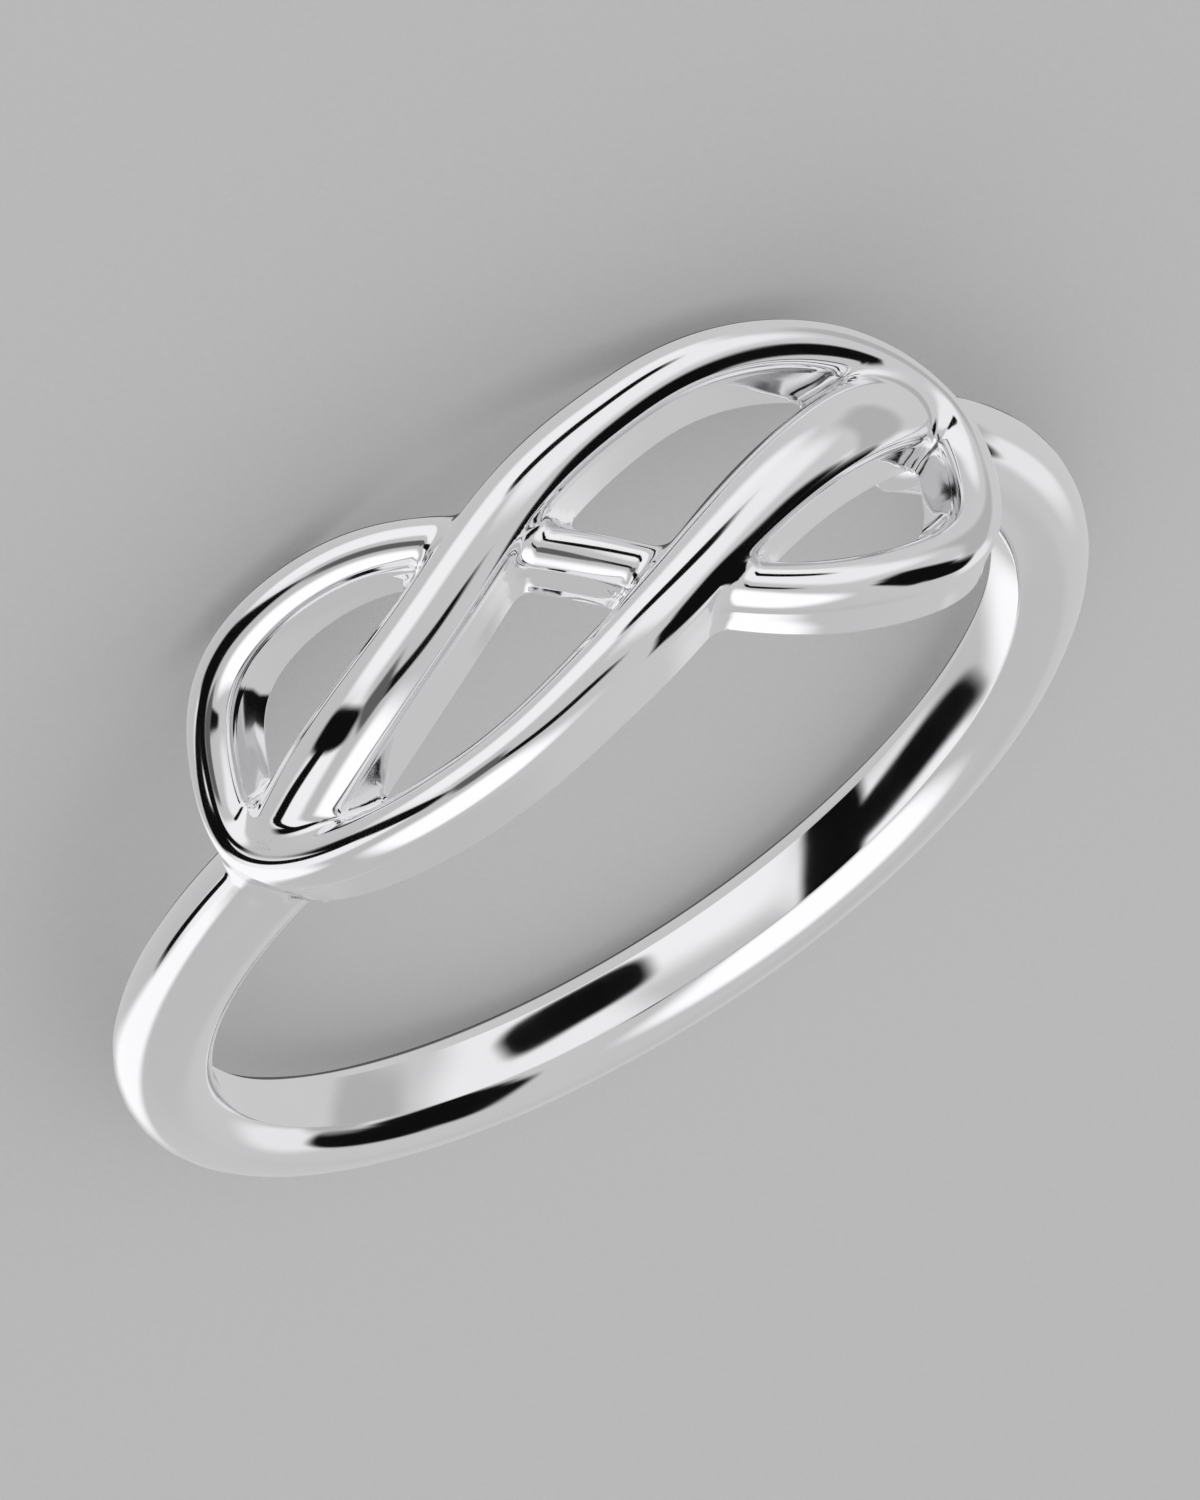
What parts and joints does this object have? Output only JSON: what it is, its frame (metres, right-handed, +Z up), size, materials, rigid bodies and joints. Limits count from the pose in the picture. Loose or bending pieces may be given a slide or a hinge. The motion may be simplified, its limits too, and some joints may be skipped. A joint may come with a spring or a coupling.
{
  "type": "infinity knot finger ring",
  "caption": "Slim polished finger ring whose front is an open infinity knot: rounded strand, doubled diagonal, and a D-section band that meets the knot's loops with an offset.",
  "frame": {"origin": "on the floor, under the middle of the box of the ring as it lies on its side", "axes": "+Z up from the floor, nearly along the finger hole; the knot faces -Y, the back of the band is at +Y, and the knot's length runs along X"},
  "size_m": [0.0206, 0.0214, 0.0064],
  "materials": {
    "polished_metal": "polished white precious metal"
  },
  "bodies": {
    "root": {"infinity_ring": "polished_metal"}
  },
  "joints": []
}
